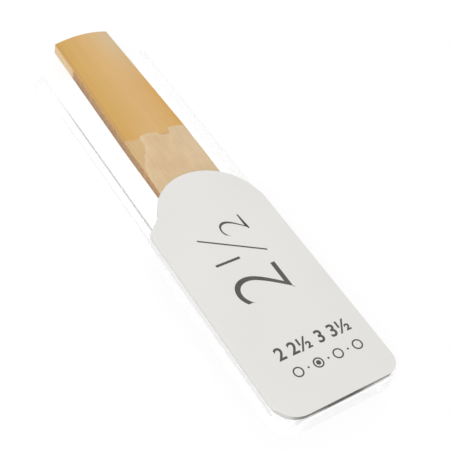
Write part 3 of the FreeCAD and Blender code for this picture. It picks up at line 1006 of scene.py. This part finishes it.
def print_ring(name, radius, stroke, place):
    """A thin ring of ink on the film: a circle's edge is extruded inwards, and the flat ring then upwards."""
    bpy.ops.object.select_all(action="DESELECT")
    bpy.ops.mesh.primitive_circle_add(vertices=48, radius=radius)
    made = bpy.context.object
    made.name = name
    bpy.ops.object.mode_set(mode="EDIT")
    bpy.ops.mesh.select_all(action="SELECT")
    bpy.ops.mesh.extrude_region_move()
    bpy.ops.transform.resize(value=(1 - stroke / radius,) * 2 + (1,), center_override=(0, 0, 0))
    bpy.ops.mesh.select_all(action="SELECT")
    bpy.ops.mesh.extrude_region_move(TRANSFORM_OT_translate={"value": (0, 0, INK)})
    bpy.ops.mesh.select_all(action="SELECT")
    bpy.ops.mesh.normals_make_consistent(inside=False)
    bpy.ops.transform.translate(value=(place[0], place[1], film_top))
    bpy.ops.object.mode_set(mode="OBJECT")
    return made


def make_ink():
    material, tree, shader = new_material("print_ink")
    mottle = use_group(tree, soft_mottle, object_vector(tree), Blotches=400.0)
    shade = ramp(tree, mottle["Broad"], (0.3, colour(62, 60, 54)), (0.7, colour(78, 76, 70)))
    tree.links.new(shade, shader.inputs["Base Color"])
    tree.links.new(spread(tree, mottle["Fine"], 0.3, 0.7, 0.45, 0.60), shader.inputs["Roughness"])
    return material


ink = make_ink()
STRENGTHS = ["2", "2½", "3", "3½"]
MARKED = 1
SCALE_MIDDLE = Vector((0.7, -31.4)) * MM
SCALE_STEP = 3.95 * MM
RING_DROP = 3.9 * MM
RING_SHIFT = 0.8 * MM
RING_RADIUS = 0.95 * MM
RING_STROKE = 0.25 * MM
MARK_RADIUS = 0.42 * MM
DOT_RADIUS = 0.18 * MM
FIGURE_HEIGHT, FIGURE_WEIGHT = 3.3 * MM, 0.06 * MM
STRENGTH_HEIGHT, STRENGTH_WEIGHT = 15 * MM, -0.28 * MM
STRENGTH_PLACE = (0.4 * MM, -12.0 * MM)
printed = [print_text("print_strength", STRENGTHS[MARKED], STRENGTH_HEIGHT, STRENGTH_PLACE, math.radians(90),
                      STRENGTH_WEIGHT)]
for index, figure in enumerate(STRENGTHS):
    middle = SCALE_MIDDLE + Vector(((index - (len(STRENGTHS) - 1) / 2) * SCALE_STEP, 0))
    ring = middle + Vector((RING_SHIFT, -RING_DROP))
    printed.append(print_text(f"print_scale_{index}", figure, FIGURE_HEIGHT, middle, 0, FIGURE_WEIGHT))
    printed.append(print_ring(f"print_ring_{index}", RING_RADIUS, RING_STROKE, ring))
    if index == MARKED:
        printed.append(print_dot(f"print_mark_{index}", MARK_RADIUS, ring))
    if index:
        printed.append(print_dot(f"print_dot_{index}", DOT_RADIUS, ring - Vector((SCALE_STEP / 2, 0))))
for piece in printed:
    dress(piece, ink)
    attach(piece, "guard")
print("printed pieces:", len(printed))

# %% [markdown]
# ## The floor and the light
#
# The picture has a plain white ground and soft light from all round, a little stronger from above. The
# floor is a large white sheet. For the camera, and for what is seen through or mirrored in the plastic, it
# glows at the strength of white, and a share of true white paint keeps the object's shadow. A white world
# stands behind it.

# %% The floor
FLOOR_SIZE = 8.0
FLOOR_GAP = 0.03 * MM
SHADOW_SHARE = 0.16
GLOW = 1.04
bpy.ops.object.select_all(action="DESELECT")
bpy.ops.mesh.primitive_plane_add(size=FLOOR_SIZE, location=(0, 0, -FLOOR_GAP))
floor = bpy.context.object
floor.name = "floor"
bpy.ops.object.transform_apply(location=True, rotation=True, scale=True)


def seen_rays(tree):
    """1 for a ray that the camera, a mirror or clear plastic sends out, and 0 for light that spreads."""
    ways = add_node(tree, "ShaderNodeLightPath").outputs
    either = arithmetic(tree, "MAXIMUM", ways["Is Camera Ray"], ways["Is Glossy Ray"])
    return arithmetic(tree, "MAXIMUM", either, ways["Is Transmission Ray"])


def make_floor():
    material, tree, shader = new_material("white_ground")
    shader.inputs["Base Color"].default_value = (0.9, 0.9, 0.9, 1)
    shader.inputs["Roughness"].default_value = 1.0
    shader.inputs["Specular IOR Level"].default_value = 0.0
    glow = add_node(tree, "ShaderNodeEmission")
    glow.inputs["Strength"].default_value = GLOW
    part = add_node(tree, "ShaderNodeMixShader")
    tree.links.new(arithmetic(tree, "MULTIPLY", seen_rays(tree), 1 - SHADOW_SHARE), part.inputs["Fac"])
    tree.links.new(shader.outputs["BSDF"], part.inputs[1])
    tree.links.new(glow.outputs["Emission"], part.inputs[2])
    tree.links.new(part.outputs["Shader"], tree.nodes["Material Output"].inputs["Surface"])
    return material


dress(floor, make_floor())

# %% The light
SKY = 0.56
world = bpy.data.worlds.new("white_world")
bpy.context.scene.world = world
world.use_nodes = True
sky = world.node_tree
strength = spread(sky, seen_rays(sky), 0, 1, SKY, 1.0)
sky.links.new(strength, sky.nodes["Background"].inputs["Strength"])
sky.nodes["Background"].inputs["Color"].default_value = (1, 1, 1, 1)


def softbox(name, place, size, power):
    """A square soft lamp that faces the object's middle."""
    data = bpy.data.lights.new(name, "AREA")
    data.size = size
    data.energy = power
    lamp = bpy.data.objects.new(name, data)
    bpy.context.scene.collection.objects.link(lamp)
    lamp.location = place
    lamp.rotation_mode = "QUATERNION"
    lamp.rotation_quaternion = (AIM - lamp.location).to_track_quat("-Z", "Y")
    return lamp


softbox("key_light", Vector((-0.55, -0.30, 0.60)), 0.6, 3.5)
softbox("back_light", Vector((0.45, 0.55, 0.55)), 0.5, 1.4)
bpy.context.scene.view_settings.view_transform = "Standard"

# Light is led along inside clear plastic for many turns before it comes out again.
LIGHT_TURNS = 48
for kind in ("max_bounces", "glossy_bounces", "transmission_bounces"):
    setattr(bpy.context.scene.cycles, kind, LIGHT_TURNS)
